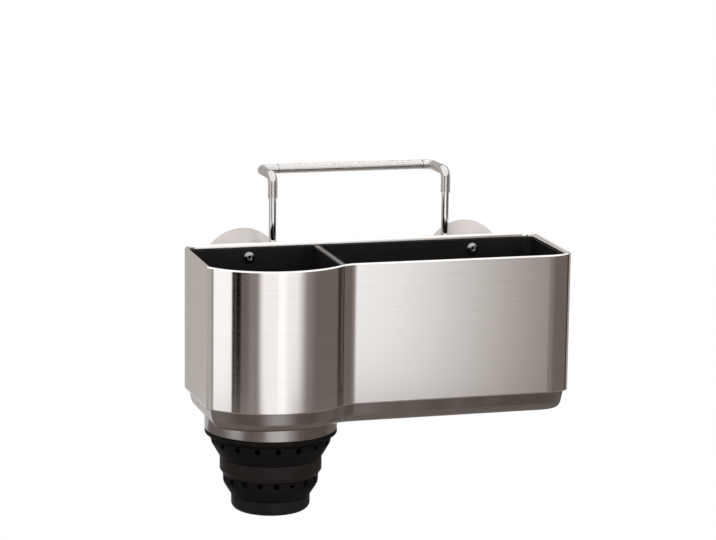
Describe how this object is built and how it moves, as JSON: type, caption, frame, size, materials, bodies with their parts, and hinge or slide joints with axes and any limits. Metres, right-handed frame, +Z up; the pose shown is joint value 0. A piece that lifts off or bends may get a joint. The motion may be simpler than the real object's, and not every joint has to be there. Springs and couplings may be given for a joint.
{
  "type": "sink caddy",
  "caption": "Steel-wrapped sink caddy with a round brush cup, a long sponge tray, a telescoping brush holder underneath, a sliding wire hook and suction cups.",
  "frame": {"origin": "where the hook sits on the sink's edge: on the hook's centre line, in the plane of the suction cups' rims, at the underside of the hook's arms", "axes": "+X right along the caddy as seen from the front, +Y back towards the sink's wall, +Z up"},
  "size_m": [0.231, 0.1273, 0.202],
  "materials": {
    "steel_wrap": "brushed stainless steel, level grain",
    "liner_black": "satin black moulding",
    "base_grey": "satin dark warm grey moulding",
    "silicone_black": "matt black silicone",
    "chrome": "polished plated steel",
    "clear_vinyl": "clear soft vinyl tube",
    "soft_vinyl": "cloudy soft vinyl",
    "guide_grey": "matt grey moulding",
    "screw_steel": "bright zinc-plated steel"
  },
  "bodies": {
    "caddy": {"steel_shell": "steel_wrap", "divider_plate": "steel_wrap", "cup_liner": "liner_black", "tray_liner": "liner_black", "base_tray": "base_grey", "holder_flange": "silicone_black", "upper_pleat": "silicone_black", "left_guide": "guide_grey", "right_guide": "guide_grey", "left_suction_cup": "soft_vinyl", "right_suction_cup": "soft_vinyl", "guide_rivet_1": "chrome", "guide_rivet_2": "chrome", "guide_rivet_3": "chrome", "guide_rivet_4": "chrome", "base_screw_1": "screw_steel", "base_screw_2": "screw_steel", "base_screw_3": "screw_steel", "base_screw_4": "screw_steel", "base_screw_5": "screw_steel"},
    "hook": {"hook_wire": "chrome", "bar_sleeve": "clear_vinyl", "left_arm_sleeve": "clear_vinyl", "right_arm_sleeve": "clear_vinyl", "left_leg_cap": "soft_vinyl", "right_leg_cap": "soft_vinyl"},
    "holder_band": {"middle_band": "silicone_black", "lower_pleat": "silicone_black"},
    "holder_cup": {"bottom_cup": "silicone_black"}
  },
  "joints": [
    {"name": "hook_slide", "type": "slide", "parent": "caddy", "child": "hook", "axis": [0, 0, 1], "range_m": [-0.0287, 0.0215]},
    {"name": "band_slide", "type": "slide", "parent": "caddy", "child": "holder_band", "axis": [0, 0, 1], "range_m": [0, 0.0186], "deforming": ["upper_pleat"]},
    {"name": "cup_slide", "type": "slide", "parent": "holder_band", "child": "holder_cup", "axis": [0, 0, 1], "range_m": [0, 0.0158], "deforming": ["lower_pleat"]}
  ]
}
